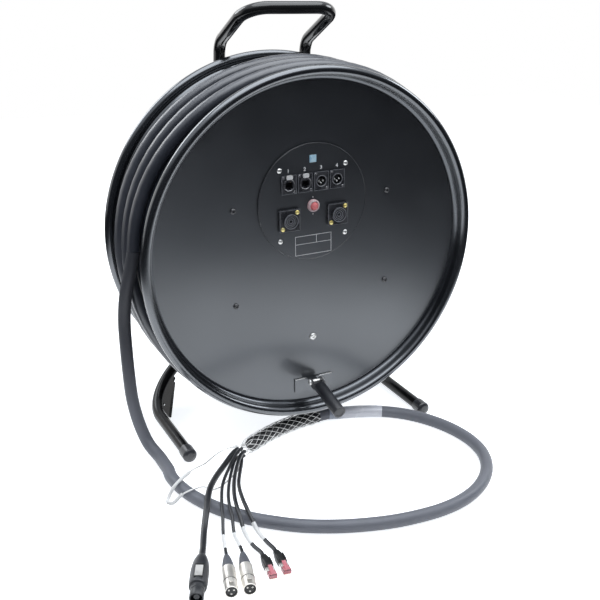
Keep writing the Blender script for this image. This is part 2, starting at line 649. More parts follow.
plug_plastic = grained("plug_moulding", (0.030, 0.032, 0.037), (0.045, 0.047, 0.053), 0.40, 0.12, 60.0,
                       1400.0, 0.2, 0.0002)
plug_black = grained("plug_insert", (0.008, 0.008, 0.009), (0.014, 0.014, 0.015), 0.45, 0.10, 60.0, 1400.0,
                     0.1, 0.0002)
satin_nickel = grained("satin_nickel", (0.78, 0.75, 0.70), (0.88, 0.85, 0.80), 0.40, 0.10, 70.0, 1200.0, 0.08,
                       0.0001, metallic=0.85, rubbed=0.4, rub_colour=(0.45, 0.43, 0.40))
brass = grained("contact_brass", (0.78, 0.58, 0.25), (0.85, 0.66, 0.32), 0.25, 0.1, 90.0, 900.0, 0.05, 0.0001,
                metallic=1.0)
POWER_END = 0.090
POWER_RADIUS = 0.0125
POWER_BARREL = 0.0095
power_shell = bmesh.new()
shoulder = POWER_END - 0.023
inner = POWER_BARREL - 0.0019
turn_into(power_shell, [
    (0.0, POWER_END - 0.004), (0.0038, POWER_END - 0.004), (0.0042, POWER_END - 0.0044),
    (0.0042, POWER_END - 0.012), (inner, POWER_END - 0.012), (inner, POWER_END - 0.0004),
    (inner + 0.0004, POWER_END), (POWER_BARREL - 0.0006, POWER_END), (POWER_BARREL, POWER_END - 0.0012),
    (POWER_BARREL, shoulder + 0.011), (POWER_BARREL - 0.0005, shoulder + 0.0105),
    (POWER_BARREL - 0.0005, shoulder + 0.0085), (POWER_BARREL, shoulder + 0.008),
    (POWER_BARREL, shoulder + 0.0006), (POWER_RADIUS - 0.0012, shoulder),
    (POWER_RADIUS - 0.0007, shoulder - 0.0006), (POWER_RADIUS - 0.0004, shoulder - 0.004),
    (POWER_RADIUS, shoulder - 0.009), (POWER_RADIUS, POWER_END * 0.37), (POWER_RADIUS * 0.985, POWER_END / 3),
    (POWER_RADIUS * 0.95, POWER_END * 0.27), (POWER_RADIUS * 0.896, POWER_END * 0.2),
    (POWER_RADIUS * 0.80, POWER_END * 0.13), (POWER_RADIUS * 0.68, POWER_END * 0.075),
    (POWER_RADIUS * 0.60, POWER_END * 0.035), (POWER_RADIUS * 0.496, 0.0), (0.0, 0.0)], 40)
for k in range(1, 6):
    rib = Matrix.Rotation(math.radians(60 * k), 4, "Z") @ Matrix.Translation((0, POWER_RADIUS - 0.0006, 0))
    box_into(power_shell, 0.0032, 0.0012, 0.031, 0.054, edge=0.0004, place=rib)
box_into(power_shell, 0.0028, 0.0020, shoulder + 0.001, POWER_END - 0.002, centre=(0, -POWER_BARREL),
         edge=0.0003)
power_plug = placed("power_plug_shell", power_shell, plug_plastic, plug_place(*PLUG_PLACES[0]))
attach(power_plug, "frame")
seat_shell = bmesh.new()
box_into(seat_shell, 0.0124, 0.0022, 0.0325, 0.0605, centre=(0, POWER_RADIUS - 0.0010), edge=0.0004)
latch_seat = placed("power_latch_track", seat_shell, plug_black, plug_place(*PLUG_PLACES[0]))
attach(latch_seat, "frame")
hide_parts("power_plug")

# The signal plugs
# Round three-contact plugs: dark tapered rubber boot, nickel shell with a grip ring, black insert with three
# contacts in the face, and a small latch on top that presses in.
SIGNAL_END = 0.078
SIGNAL_RADIUS = 0.0092
BOOT_END = 0.0290
RING = 0.0545
CONTACT_CIRCLE = 0.0038
WINDOW_WIDTH = 0.0056
WINDOW_DEPTH = 0.0060
WINDOW_LOW = 0.0595
WINDOW_HIGH = 0.0707
WINDOW_RISE = 0.0090


def carved(piece, *cutters):
    """The piece with each cutter's shape taken out of it; the cutters are used up."""
    for cutter in cutters:
        step = piece.modifiers.new("cut", "BOOLEAN")
        step.operation = "DIFFERENCE"
        step.solver = "EXACT"
        step.object = cutter
    bpy.context.view_layer.update()
    mesh = bpy.data.meshes.new_from_object(piece.evaluated_get(bpy.context.evaluated_depsgraph_get()))
    piece.modifiers.clear()
    piece.data = mesh
    for cutter in cutters:
        bpy.data.objects.remove(cutter, do_unlink=True)
    return piece


def on_circle(radius, degrees):
    """A place on a circle round the Z axis."""
    lean = math.radians(degrees)
    return Matrix.Translation((radius * math.cos(lean), radius * math.sin(lean), 0))


boot_rubber = grained("boot_rubber", (0.100, 0.106, 0.128), (0.130, 0.138, 0.162), 0.50, 0.10, 60.0, 1500.0,
                      0.15, 0.0002)
for number in (1, 2):
    place = plug_place(*PLUG_PLACES[number])
    shell = bmesh.new()
    front = SIGNAL_END - 0.0012
    turn_into(shell, [
        (SIGNAL_RADIUS - 0.0013, front - 0.004), (SIGNAL_RADIUS - 0.0013, SIGNAL_END),
        (SIGNAL_RADIUS - 0.0004, SIGNAL_END), (SIGNAL_RADIUS, SIGNAL_END - 0.0005),
        (SIGNAL_RADIUS, RING + 0.0040), (SIGNAL_RADIUS - 0.0005, RING + 0.0037),
        (SIGNAL_RADIUS - 0.0005, RING + 0.0030), (SIGNAL_RADIUS + 0.0004, RING + 0.0027),
        (SIGNAL_RADIUS + 0.0004, RING + 0.0007), (SIGNAL_RADIUS - 0.0006, RING + 0.0003),
        (SIGNAL_RADIUS - 0.0006, RING - 0.0006), (SIGNAL_RADIUS - 0.0001, RING - 0.0010),
        (SIGNAL_RADIUS + 0.0001, BOOT_END + 0.001), (SIGNAL_RADIUS - 0.0006, BOOT_END),
        (SIGNAL_RADIUS - 0.0022, BOOT_END)], 40)
    turn_into(shell, [(SIGNAL_RADIUS, RING + 0.0028), (SIGNAL_RADIUS + 0.00025, RING + 0.0030),
                      (SIGNAL_RADIUS + 0.00025, RING + 0.0040), (SIGNAL_RADIUS, RING + 0.0042)], 40, 2)
    turn_into(shell, [(SIGNAL_RADIUS * 0.90, BOOT_END + 0.0002), (SIGNAL_RADIUS * 0.93, BOOT_END - 0.0010),
                      (SIGNAL_RADIUS * 0.90, BOOT_END - 0.0030), (SIGNAL_RADIUS * 0.80, BOOT_END * 0.62),
                      (SIGNAL_RADIUS * 0.66, BOOT_END / 3), (SIGNAL_RADIUS * 0.52, BOOT_END * 0.12),
                      (SIGNAL_RADIUS * 0.42, 0.0), (0.0, 0.0), (0.0, BOOT_END + 0.0002)], 32, 1)
    turn_into(shell, [(0.0, front), (SIGNAL_RADIUS * 0.62, front), (SIGNAL_RADIUS * 0.66, front - 0.0008),
                      (SIGNAL_RADIUS - 0.00125, front - 0.0010), (SIGNAL_RADIUS - 0.00125, front - 0.004),
                      (0.0, front - 0.004)], 32, 2)
    for angle in (150, 30, 270):
        turn_into(shell, [(0.0006, front + 0.0001), (0.0011, front + 0.0001), (0.0011, front - 0.001),
                          (0.0006, front - 0.001)], 12, 0, on_circle(CONTACT_CIRCLE, angle))
    plug = placed("signal_plug_%d_shell" % number, shell, (satin_nickel, boot_rubber, plug_black), place)
    window = bmesh.new()
    box_into(window, WINDOW_WIDTH, WINDOW_DEPTH, WINDOW_LOW, WINDOW_HIGH, centre=(0, WINDOW_RISE))
    carved(plug, placed("latch_window_cutter", window, plug_black, place))
    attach(plug, "frame")
    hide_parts("signal_plug_%d" % number)

# The data plugs
# Flat eight-way plugs: black tapered boot with a clip guard, bright shield, clear red front with its
# contacts, and a springy clip that presses down.
DATA_WIDTH = 0.0125
DATA_HEIGHT = 0.0095
DATA_END = 0.049
shield = grained("plug_shield", (0.74, 0.72, 0.69), (0.86, 0.84, 0.81), 0.42, 0.12, 120.0, 900.0, 0.1, 0.0001,
                 metallic=0.8)
clear_red = grained("clear_red", (0.93, 0.30, 0.36), (0.96, 0.44, 0.49), 0.16, 0.06, 80.0, 600.0, 0.05,
                    0.0002)
set_shader(clear_red, {"Transmission Weight": 0.35})
for number in (1, 2):
    place = plug_place(*PLUG_PLACES[number + 2])
    shell = bmesh.new()
    box_into(shell, DATA_WIDTH - 0.0004, DATA_HEIGHT - 0.0004, 0.0, 0.0145, edge=0.0010, taper=0.62)
    box_into(shell, DATA_WIDTH, DATA_HEIGHT, 0.0140, 0.0300, edge=0.0012)
    for side in (-1, 1):
        box_into(shell, 0.0014, 0.0042, 0.0150, 0.0292, centre=(side * 0.0045, DATA_HEIGHT / 2 + 0.0008),
                 edge=0.0004)
    box_into(shell, 0.0117, 0.0066, 0.0290, 0.0395, centre=(0, -0.0008), slot=1, edge=0.0005)
    box_into(shell, 0.0113, 0.0062, 0.0380, DATA_END, centre=(0, -0.0008), slot=2, edge=0.0005)
    for k in range(8):
        box_into(shell, 0.0006, 0.0004, DATA_END - 0.0070, DATA_END - 0.0004,
                 centre=((k - 3.5) * 0.00102, -0.0041), slot=3)
    plug = placed("data_plug_%d_shell" % number, shell, (plug_black, shield, clear_red, brass), place)
    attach(plug, "frame")
    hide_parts("data_plug_%d" % number)

for tail, start, length, diameter, ends in tails:
    sleeve = bpy.data.objects.get(tail.name.replace("_lead", "_sleeve"))

# The wound cable
# The outer turns lie over a layer of turns below, the last of them loose and out of line.
DRUM_TURN = math.radians(-2.5)
DRUM_CENTRE = Vector((0, 0.02727, 0.3304))
to_drum = Matrix.Translation(DRUM_CENTRE) @ Matrix.Rotation(DRUM_TURN, 4, "Y")
LOWER_RADIUS = 0.2645
UPPER_RADIUS = 0.2852
LAYER_EDGE = 0.072
LAYER_START = math.radians(355)
LOWER_TURNS = 6.5
TURN_SPACING = 2 * LAYER_EDGE / LOWER_TURNS
CLIMB_ANGLE = math.radians(90)
SHIFT_START = math.radians(82)
LOOSE_START = math.radians(280)
LOOSE_Y = -0.00099
LOOSE_PITCH = 0.038495
LOOSE_TURNS = 2.2222
SWAY = 0.036003
SWAY_CENTRE = math.radians(160)
SWAY_HALF_WIDTH = math.radians(80)
LEAD_OUT_SHIFT = 0.009999
LEAD_OUT_ANGLE = math.radians(60)
POINTS_PER_TURN = 72
BELOW_RADIUS = 0.2413
BELOW_TURNS = 8


def sway(angle):
    """How far the loose turns lean back at one place on the drum, from 0 to 1."""
    off = (angle - SWAY_CENTRE + math.pi) % (2 * math.pi) - math.pi
    if abs(off) >= SWAY_HALF_WIDTH:
        return 0.0
    return 0.5 * (1 + math.cos(math.pi * off / SWAY_HALF_WIDTH))


def winding_point(angle):
    """Centre of the cable after the given turn of the drum, in the drum's frame."""
    tight_end = LOWER_TURNS * 2 * math.pi
    loose_start = tight_end + LOOSE_START
    end = loose_start + LOOSE_TURNS * 2 * math.pi
    place = LAYER_START + angle
    radius = LOWER_RADIUS + (UPPER_RADIUS - LOWER_RADIUS) * ease((angle - tight_end) / CLIMB_ANGLE)
    tight_y = -LAYER_EDGE + TURN_SPACING * min(angle, tight_end) / (2 * math.pi)
    loose_y = LOOSE_Y - LOOSE_PITCH * (angle - loose_start) / (2 * math.pi) + SWAY * sway(place)
    share = ease((angle - tight_end - SHIFT_START) / (LOOSE_START - SHIFT_START))
    along = tight_y + (loose_y - tight_y) * share
    along += LEAD_OUT_SHIFT * ease((angle - end + LEAD_OUT_ANGLE) / LEAD_OUT_ANGLE)
    return Vector((radius * math.cos(place), along, radius * math.sin(place)))


wound_angle = LOWER_TURNS * 2 * math.pi + LOOSE_START + LOOSE_TURNS * 2 * math.pi
wound_count = round(wound_angle / (2 * math.pi) * POINTS_PER_TURN)
wound_points = [to_drum @ winding_point(wound_angle * k / wound_count) for k in range(wound_count + 1)]
wound_jacket = grained("wound_jacket", (0.027, 0.032, 0.045), (0.038, 0.044, 0.060), 0.38, 0.10, 11.0, 1100.0,
                       0.10, 0.0002, specular=0.9, rubbed=0.25, rub_colour=(0.12, 0.125, 0.14))
set_shader(wound_jacket, {"Coat Weight": 0.5, "Coat Roughness": 0.32})
wound = cord_curve("wound_turns", wound_points, CABLE_RADIUS, 7, wound_jacket)
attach(wound, "drum")
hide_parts("cable_winding")

under_points = []
for k in range(BELOW_TURNS * POINTS_PER_TURN + 1):
    angle = 2 * math.pi * k / POINTS_PER_TURN
    along = LAYER_EDGE * (2 * k / (BELOW_TURNS * POINTS_PER_TURN) - 1) * 0.993
    under_points.append(to_drum @ Vector((BELOW_RADIUS * math.cos(angle), along,
                                          BELOW_RADIUS * math.sin(angle))))
under = cord_curve("turns_below", under_points, CABLE_RADIUS, 5, wound_jacket)
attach(under, "drum")
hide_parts("cable_core")

# The flanges
# Two pressed steel discs, each dished forward at its edge and rolled into a round bead, with a fine-grained
# black powder coat. The front one has a round opening behind the socket panel.
RIM_RADIUS = 0.2905
BEAD_RADIUS = 0.0078
SHEET = 0.002
DISC_FACE = 0.0845
BEAD_LIFT = 0.0133
DISH_RADIUS = 0.0085
FRONT_BORE = 0.012
REAR_BORE = 0.0196
OPENING_RADIUS = 0.072
PANEL_RISE = 0.076
BEAD_SHINE_FROM = 0.2655
BEAD_SHINE_TO = 0.2685
FOLD_FROM = 0.2735
FOLD_TO = 0.2755
FOLD_DULLNESS = 0.82
COAT_SHARE = 0.8
to_face = to_drum @ Matrix.Rotation(math.radians(90), 4, "X")
to_back = to_face @ Matrix.Rotation(math.pi, 4, "Y")


def flange_profile(bore):
    """Half section of a flange, from its bore out over the dish and round the rolled bead."""
    bead_circle = RIM_RADIUS - BEAD_RADIUS
    bead_height = DISC_FACE + BEAD_LIFT
    dish_start = bead_circle - BEAD_RADIUS - DISH_RADIUS
    front = [(bore, DISC_FACE), (bore + 0.03, DISC_FACE), (0.12, DISC_FACE), (0.2, DISC_FACE),
             (dish_start, DISC_FACE)]
    for step in range(1, 9):
        angle = math.radians(90) * step / 8
        front.append((dish_start + DISH_RADIUS * math.sin(angle),
                      DISC_FACE + DISH_RADIUS * (1 - math.cos(angle))))
    back_radius = DISH_RADIUS + SHEET
    back = [(bore, DISC_FACE - SHEET), (0.12, DISC_FACE - SHEET), (dish_start, DISC_FACE - SHEET)]
    for step in range(1, 16):
        angle = math.radians(6) * step
        point = (dish_start + back_radius * math.sin(angle),
                 DISC_FACE - SHEET + back_radius * (1 - math.cos(angle)))
        if math.hypot(point[0] - bead_circle, point[1] - bead_height) < BEAD_RADIUS * 1.03:
            break
        back.append(point)
    meeting = math.atan2(back[-1][1] - bead_height, back[-1][0] - bead_circle)
    sweep_angle = math.pi - meeting - math.radians(8)
    bead = [(bead_circle + BEAD_RADIUS * math.cos(math.pi - sweep_angle * step / 30),
             bead_height + BEAD_RADIUS * math.sin(math.pi - sweep_angle * step / 30)) for step in range(31)]
    return front + bead + back[::-1]


coat = grained("textured_black_coat", (0.0058, 0.0064, 0.0080), (0.0080, 0.0088, 0.0108), 0.36, 0.05, 7.0,
               620.0, 0.30, 0.00012, specular=1.0, rubbed=0.20, rub_colour=(0.03, 0.03, 0.033))
coat_shader = shader_of(coat)
set_shader(coat, {"IOR": 1.62, "Specular Tint": (0.88, 0.93, 1.0, 1), "Coat Weight": COAT_SHARE,
                  "Coat Roughness": 0.14})
# The rolled bead is smoother than the flat disc, so its lines of light are sharper.
coat_tree = coat.node_tree
coat_place = object_place(coat_tree)
coat_flat = coat_tree.nodes.new("ShaderNodeCombineXYZ")
link(coat_tree, coat_place["X"], coat_flat.inputs["X"])
link(coat_tree, coat_place["Z"], coat_flat.inputs["Z"])
coat_reach = coat_tree.nodes.new("ShaderNodeVectorMath")
coat_reach.operation = "DISTANCE"
coat_reach.inputs[1].default_value = (0, 0, DRUM_CENTRE.z)
link(coat_tree, coat_flat.outputs[0], coat_reach.inputs[0])
on_bead = smooth_range(coat_tree, coat_reach.outputs["Value"], BEAD_SHINE_FROM, BEAD_SHINE_TO)
flat_roughness = coat_shader.inputs["Roughness"].links[0].from_socket
smoother = math_node(coat_tree, "MULTIPLY", on_bead, -0.18)
link(coat_tree, math_node(coat_tree, "ADD", flat_roughness, smoother), coat_shader.inputs["Roughness"])
# In the fold between the disc and the bead the coat is dull and hardly mirrors.
before_bead = smooth_range(coat_tree, coat_reach.outputs["Value"], FOLD_FROM, FOLD_TO, FOLD_DULLNESS, 0.0)
dull = math_node(coat_tree, "MULTIPLY", on_bead, before_bead)
mirroring = math_node(coat_tree, "SUBTRACT", 1.0, dull)
link(coat_tree, math_node(coat_tree, "MULTIPLY", mirroring, COAT_SHARE), coat_shader.inputs["Coat Weight"])

front_shell = bmesh.new()
turn_into(front_shell, flange_profile(FRONT_BORE), 192)
front_flange = placed("front_flange_pressing", front_shell, coat, to_face)
opening_shell = bmesh.new()
turn_into(opening_shell, [(0.0, DISC_FACE - 0.01), (OPENING_RADIUS, DISC_FACE - 0.01),
                          (OPENING_RADIUS, DISC_FACE + 0.01), (0.0, DISC_FACE + 0.01)], 96, 0,
          Matrix.Translation((0, PANEL_RISE, 0)))
carved(front_flange, placed("opening_cutter", opening_shell, coat, to_face))
front_flange.data.set_sharp_from_angle(angle=math.radians(35))
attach(front_flange, "drum")
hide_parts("front_flange")
rear_shell = bmesh.new()
turn_into(rear_shell, flange_profile(REAR_BORE), 192)
rear_flange = placed("rear_flange_pressing", rear_shell, coat, to_back)
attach(rear_flange, "drum")
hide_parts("rear_flange")

# The tie bolts
# Six long bolts clamp the flanges onto the barrel. Four show black button heads with a socket, one a bright
# one, and the sixth is sunk under the panel. Each has its nut on the rear flange.
TIE_CIRCLE = 0.1564
TIE_SHANK = 0.003
TIE_ANGLES = (30, 90, 150, 210, 270, 330)
SUNK_ANGLE = 90
BRIGHT_ANGLE = 270
BRIGHT_HEAD = 0.006
BLACK_HEAD = 0.0047
SEAT = DISC_FACE + 0.0003
black_steel = grained("black_steel", (0.040, 0.041, 0.045), (0.060, 0.061, 0.066), 0.30, 0.10, 90.0, 900.0,
                      0.1, 0.0002, specular=0.9)
bright_zinc = grained("bright_zinc", (0.76, 0.76, 0.74), (0.86, 0.86, 0.84), 0.34, 0.12, 80.0, 1000.0, 0.08,
                      0.0001, metallic=0.85, rubbed=0.5, rub_colour=(0.50, 0.50, 0.49))
for number, angle in enumerate(TIE_ANGLES, start=1):
    head = BRIGHT_HEAD if angle == BRIGHT_ANGLE else BLACK_HEAD
    shell = bmesh.new()
    if angle == SUNK_ANGLE:
        top = [(0.0, DISC_FACE - 0.0003), (0.0044, DISC_FACE - 0.0003), (TIE_SHANK, DISC_FACE - SHEET)]
    else:
        top = [(0.0, SEAT + 0.0012), (head * 0.40, SEAT + 0.0012), (head * 0.42, SEAT + 0.0029),
               (head * 0.50, SEAT + 0.0030), (head * 0.72, SEAT + 0.0026), (head * 0.90, SEAT + 0.0018),
               (head, SEAT + 0.0007), (head, SEAT), (TIE_SHANK, SEAT)]
    turn_into(shell, top + [(TIE_SHANK, -SEAT - 0.006), (0.0, -SEAT - 0.006)], 24)
    turn_into(shell, [(TIE_SHANK * 1.05, -SEAT), (TIE_SHANK * 1.7, -SEAT), (TIE_SHANK * 1.7, -SEAT - 0.0045),
                      (TIE_SHANK * 1.5, -SEAT - 0.005), (TIE_SHANK * 1.05, -SEAT - 0.005)], 6)
    bolt = placed("tie_bolt_%d_turned" % number, shell, bright_zinc if angle == BRIGHT_ANGLE else black_steel,
                  to_face @ on_circle(TIE_CIRCLE, angle))
    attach(bolt, "drum")
    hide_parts("tie_bolt_%d" % number)

# The stand
# One steel tube bent into the handle and two splayed legs, gloss black, with a cross plate and gussets
# welded on. The handle and each leg are drawn as one smooth bent tube each.
TUBE_RADIUS = 0.010
AXLE_HEIGHT = 0.3304
UPRIGHT_X = 0.079
UPRIGHT_Y = 0.15337
HANDLE_RISE = 0.3003
HANDLE_TOP = 0.364
HANDLE_REACH = 0.1125
KINK_DROP = 0.194
LEG_SPLAY = math.radians(48.3)
FOOT_REACH = 0.2425
SEAM = 0.00015
FOOT_HEIGHT = 0.0101
HANDLE_BENDS = (0.030, 0.0375, 0.0375, 0.030)
LEG_BENDS = (0.035, 0.090)
MIRRORING_FROM = 0.40
MIRRORING_TO = 0.64


def bent_route(corners, bend_radii, bend_steps):
    """Straight runs joined by round bends, with one bend radius for each inner corner."""
    points = [corners[0]]
    for before, corner, after, radius in zip(corners, corners[1:], corners[2:], bend_radii):
        arriving = (corner - before).normalized()
        leaving = (after - corner).normalized()
        turn = arriving.angle(leaving)
        start = corner - arriving * radius * math.tan(turn / 2)
        inward = (leaving - arriving * arriving.dot(leaving)).normalized()
        centre = start + inward * radius
        for step in range(bend_steps + 1):
            angle = turn * step / bend_steps
            points.append(centre - inward * radius * math.cos(angle) + arriving * radius * math.sin(angle))
    points.append(corners[-1])
    return points


gloss = grained("gloss_black_coat", (0.0060, 0.0060, 0.0065), (0.0085, 0.0085, 0.0092), 0.15, 0.05, 16.0,
                500.0, 0.08, 0.0001, specular=0.2, rubbed=0.35, rub_colour=(0.05, 0.05, 0.055))
set_shader(gloss, {"Coat Roughness": 0.12})
# The coat mirrors more towards the handle.
gloss_tree = gloss.node_tree
link(gloss_tree, smooth_range(gloss_tree, object_place(gloss_tree)["Z"], MIRRORING_FROM, MIRRORING_TO, 0.06,
                              1.0),
     shader_of(gloss).inputs["Coat Weight"])
handle_line = bent_route([
    Vector((-UPRIGHT_X, UPRIGHT_Y, AXLE_HEIGHT + SEAM)),
    Vector((-UPRIGHT_X, UPRIGHT_Y, AXLE_HEIGHT + HANDLE_RISE)),
    Vector((-UPRIGHT_X, UPRIGHT_Y - HANDLE_REACH, AXLE_HEIGHT + HANDLE_TOP)),
    Vector((UPRIGHT_X, UPRIGHT_Y - HANDLE_REACH, AXLE_HEIGHT + HANDLE_TOP)),
    Vector((UPRIGHT_X, UPRIGHT_Y, AXLE_HEIGHT + HANDLE_RISE)),
    Vector((UPRIGHT_X, UPRIGHT_Y, AXLE_HEIGHT + SEAM))], HANDLE_BENDS, 16)
handle = cord_curve("handle_tube", handle_line, TUBE_RADIUS, 8, gloss)
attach(handle, "frame")
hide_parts("handle_hoop")
kink_height = AXLE_HEIGHT - KINK_DROP
foot_x = UPRIGHT_X + math.tan(LEG_SPLAY) * (kink_height - FOOT_HEIGHT)
for side, name in ((-1, "left"), (1, "right")):
    leg_line = bent_route([
        Vector((side * UPRIGHT_X, UPRIGHT_Y, AXLE_HEIGHT - SEAM)),
        Vector((side * UPRIGHT_X, UPRIGHT_Y, kink_height)), Vector((side * foot_x, UPRIGHT_Y, FOOT_HEIGHT)),
        Vector((side * foot_x, UPRIGHT_Y - FOOT_REACH + 0.0043, 0.0115))], LEG_BENDS, 20)
    leg = cord_curve(name + "_leg_tube", leg_line, TUBE_RADIUS, 8, gloss)
    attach(leg, "frame")
    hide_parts(name + "_leg")

# The socket panel
# A round black plate screwed over the opening in the front flange by four silver pan heads. The socket
# numbers, the breaker's two marks and a bare ruled field are printed on it in white.
PANEL_TOP = 0.0868
PRINT_HEIGHT = 0.00012
PLATE_FACE = 0.0871
NUMBER_PLACES = (-0.0425, -0.0141, 0.0143, 0.0422)
NUMBER_RISE = 0.1280
NUMBER_SIZE = 0.0078
NUMBER_BOLDNESS = 0.00026
MARK_WIDTH = 0.0016
MARK_HEIGHT = 0.0018
BEVEL_INSIDE = 0.0940
BEVEL_OUTSIDE = 0.0951
BADGE_SIZE = 0.0118
BADGE_RISE = 0.146
SCREW_PLACES = ((-0.0575, 0.1326), (0.0575, 0.1326), (-0.0575, 0.0182), (0.0575, 0.0182))
white_print = grained("white_print", (0.84, 0.85, 0.86), (0.92, 0.93, 0.94), 0.55, 0.1, 300.0, 1500.0, 0.1,
                      0.0001)


def flat_plate(name, outlines, low, high, material, place, edge=0.0):
    """A flat piece between two heights: the first outline is its edge, the rest are holes."""
    curve = bpy.data.curves.new(name, "CURVE")
    curve.dimensions = "2D"
    curve.fill_mode = "BOTH"
    curve.extrude = (high - low) / 2 - edge
    curve.bevel_depth = edge
    curve.bevel_resolution = 2
    curve.offset = -edge
    for outline in outlines:
        spline = curve.splines.new("POLY")
        spline.points.add(len(outline) - 1)
        spline.use_cyclic_u = True
        for knot, (across, along) in zip(spline.points, outline):
            knot.co = (across, along, 0.0, 1.0)
    curve.materials.append(material)
    piece = bpy.data.objects.new(name, curve)
    bpy.context.scene.collection.objects.link(piece)
    piece.matrix_world = place @ Matrix.Translation((0, 0, (low + high) / 2))
    return piece


def rectangle(left, right, low, high):
    return [(left, low), (right, low), (right, high), (left, high)]


def on_drum(piece):
    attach(piece, "drum")
    return piece


for k, across in enumerate(NUMBER_PLACES, start=1):
    number = bpy.data.curves.new("socket_number_%d" % k, "FONT")
    number.body = str(k)
    number.size = NUMBER_SIZE
    number.align_x = "CENTER"
    number.extrude = PRINT_HEIGHT / 2
    number.offset = NUMBER_BOLDNESS
    number.materials.append(white_print)
    piece = bpy.data.objects.new("socket_number_%d" % k, number)
    bpy.context.scene.collection.objects.link(piece)
    piece.matrix_world = to_face @ Matrix.Translation((across, NUMBER_RISE, PANEL_TOP + PRINT_HEIGHT / 2))
    on_drum(piece)
LABEL_LEFT, LABEL_RIGHT = -0.0316, 0.0327
LABEL_LOW, LABEL_HIGH = -0.0100, 0.0221
LABEL_SPLIT = 0.0086
LABEL_CORNER = 0.0060
RULE = 0.0007
ruled = flat_plate("label_ruling", [
    rectangle(LABEL_LEFT, LABEL_RIGHT, LABEL_LOW, LABEL_HIGH),
    rectangle(LABEL_LEFT + RULE, LABEL_RIGHT - RULE, LABEL_LOW + RULE, LABEL_SPLIT - RULE / 2),
    rectangle(LABEL_LEFT + RULE, LABEL_CORNER - RULE / 2, LABEL_SPLIT + RULE / 2, LABEL_HIGH - RULE),
    rectangle(LABEL_CORNER + RULE / 2, LABEL_RIGHT - RULE, LABEL_SPLIT + RULE / 2, LABEL_HIGH - RULE)],
    PANEL_TOP, PANEL_TOP + PRINT_HEIGHT, white_print, to_face)
on_drum(ruled)
for name, low in (("breaker_mark_top", 0.0835), ("breaker_mark_low", 0.0556)):
    mark = flat_plate(name, [rectangle(-MARK_WIDTH / 2, MARK_WIDTH / 2, low, low + MARK_HEIGHT)], PANEL_TOP,
                      PANEL_TOP + PRINT_HEIGHT,
                      white_print, to_face)
    on_drum(mark)

panel_edge = grained("panel_edge", (0.040, 0.042, 0.047), (0.060, 0.062, 0.069), 0.24, 0.08, 90.0, 900.0, 0.1,
                     0.0001, specular=1.0)
bevel = bmesh.new()
turn_into(bevel, [(BEVEL_INSIDE, PANEL_TOP + 0.0001), (0.0943, PANEL_TOP + 0.00035),
                  (BEVEL_OUTSIDE, PANEL_TOP - 0.0006), (BEVEL_OUTSIDE, PANEL_TOP - 0.0016),
                  (BEVEL_INSIDE, PANEL_TOP - 0.0016)], 128)
on_drum(placed("panel_bevel", bevel, panel_edge, to_face @ Matrix.Translation((0, PANEL_RISE, 0)), 60))
badge_blue = grained("badge_blue", (0.36, 0.66, 0.88), (0.60, 0.84, 0.95), 0.30, 0.1, 160.0, 900.0, 0.05,
                     0.0001)
badge = bmesh.new()
box_into(badge, BADGE_SIZE, BADGE_SIZE, PANEL_TOP, PANEL_TOP + 0.0008, centre=(0, BADGE_RISE), edge=0.0003)
on_drum(placed("panel_badge", badge, badge_blue, to_face))

screw_dark = grained("screw_recess", (0.16, 0.16, 0.16), (0.24, 0.24, 0.24), 0.5, 0.1, 90.0, 900.0, 0.1,
                     0.0001, metallic=0.6)
for number, (across, up) in enumerate(SCREW_PLACES, start=1):
    screw = bmesh.new()
    spot = Matrix.Translation((across, up, PANEL_TOP)) @ Matrix.Rotation(0.6 * number, 4, "Z")
    turn_into(screw, [(0.0, 0.0022), (0.0020, 0.0021), (0.0033, 0.0016), (0.0040, 0.0007), (0.0040, 0.0),
                      (0.0, 0.0)], 24, 0, spot)
    for turn in (0, math.pi / 2):
        box_into(screw, 0.0028, 0.0007, 0.0012, 0.00228, slot=1, place=spot @ Matrix.Rotation(turn, 4, "Z"))
    on_drum(placed("panel_screw_%d" % number, screw, (bright_zinc, screw_dark), to_face))

# The data sockets
# Two eight-way sockets in round bodies on black plates, with a bright ring round the keyed port, gilt
# contacts inside and a silver push tab above. Each plate is held by two small black screws.
SOCKET_PITCH = 0.0282
SOCKET_RISE = 0.109
SOCKET_TOP = PLATE_FACE + 0.0018
SOCKET_WIDTH = 0.0252
SOCKET_HEIGHT = 0.0302
SOCKET_LIP = 0.0007
TAB_GAP = 0.0116
DATA_SOCKETS = (1, 2)
socket_plastic = grained("socket_moulding", (0.022, 0.023, 0.028), (0.034, 0.036, 0.042), 0.30, 0.10, 70.0,
                         1200.0, 0.1, 0.0002, specular=0.8)
ring_grey = grained("socket_ring", (0.20, 0.20, 0.21), (0.30, 0.30, 0.31), 0.26, 0.1, 90.0, 900.0, 0.05,
                    0.0001, metallic=0.7)
plate_rim = grained("plate_edge", (0.170, 0.176, 0.195), (0.230, 0.237, 0.258), 0.30, 0.10, 90.0, 900.0, 0.1,
                    0.0001, specular=0.8)


def plate_lip(name, width, height, rise, across, top, thickness, tab_gap=0.0):
    """The thin raised edge that runs round a socket's plate and catches the light."""
    left = across - width / 2
    right = across + width / 2
    low = rise - height / 2
    high = rise + height / 2
    outer = rectangle(left, right, low, high)
    hole = rectangle(left + thickness, right - thickness, low + thickness, high - thickness)
    outlines = [outer, hole]
    if tab_gap:
        # The lip stops on both sides of the release tab.
        gap_left = across - tab_gap / 2
        gap_right = across + tab_gap / 2
        outlines = [[outer[0], outer[1], outer[2], (gap_right, high), (gap_right, high - thickness),
                     hole[2], hole[1], hole[0], hole[3], (gap_left, high - thickness), (gap_left, high),
                     outer[3]]]
    return on_drum(flat_plate(name, outlines, top - 0.0001, top + 0.0004, plate_rim, to_face))


